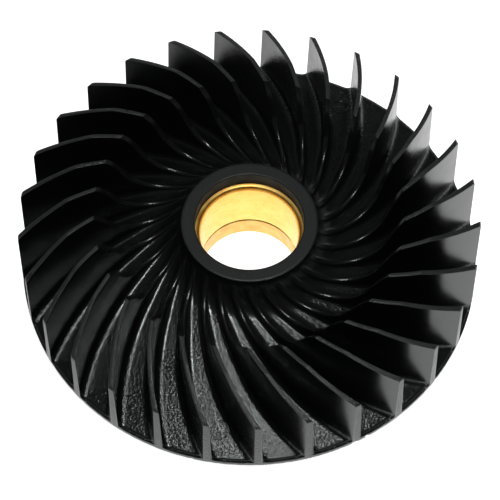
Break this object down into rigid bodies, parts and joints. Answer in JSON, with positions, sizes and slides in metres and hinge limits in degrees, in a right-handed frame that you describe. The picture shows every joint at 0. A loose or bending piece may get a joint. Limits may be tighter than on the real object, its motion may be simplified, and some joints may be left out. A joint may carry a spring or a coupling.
{
  "type": "cooling fan impeller",
  "caption": "Small moulded plastic impeller with upright curved blades on a conical disc and a brass bush in its hub.",
  "frame": {"origin": "on the shaft axis, in the plane of the hub's foot", "axes": "+Z along the shaft axis towards the blade tops and the incoming air"},
  "size_m": [0.07, 0.07, 0.0192],
  "materials": {
    "moulding": "black moulded plastic, spark-eroded sparkle on the disc and the blade tops, glossy blade sides",
    "bush_brass": "turned brass with a bright bore"
  },
  "bodies": {
    "root": {"impeller": "moulding", "bush": "bush_brass"}
  },
  "joints": []
}
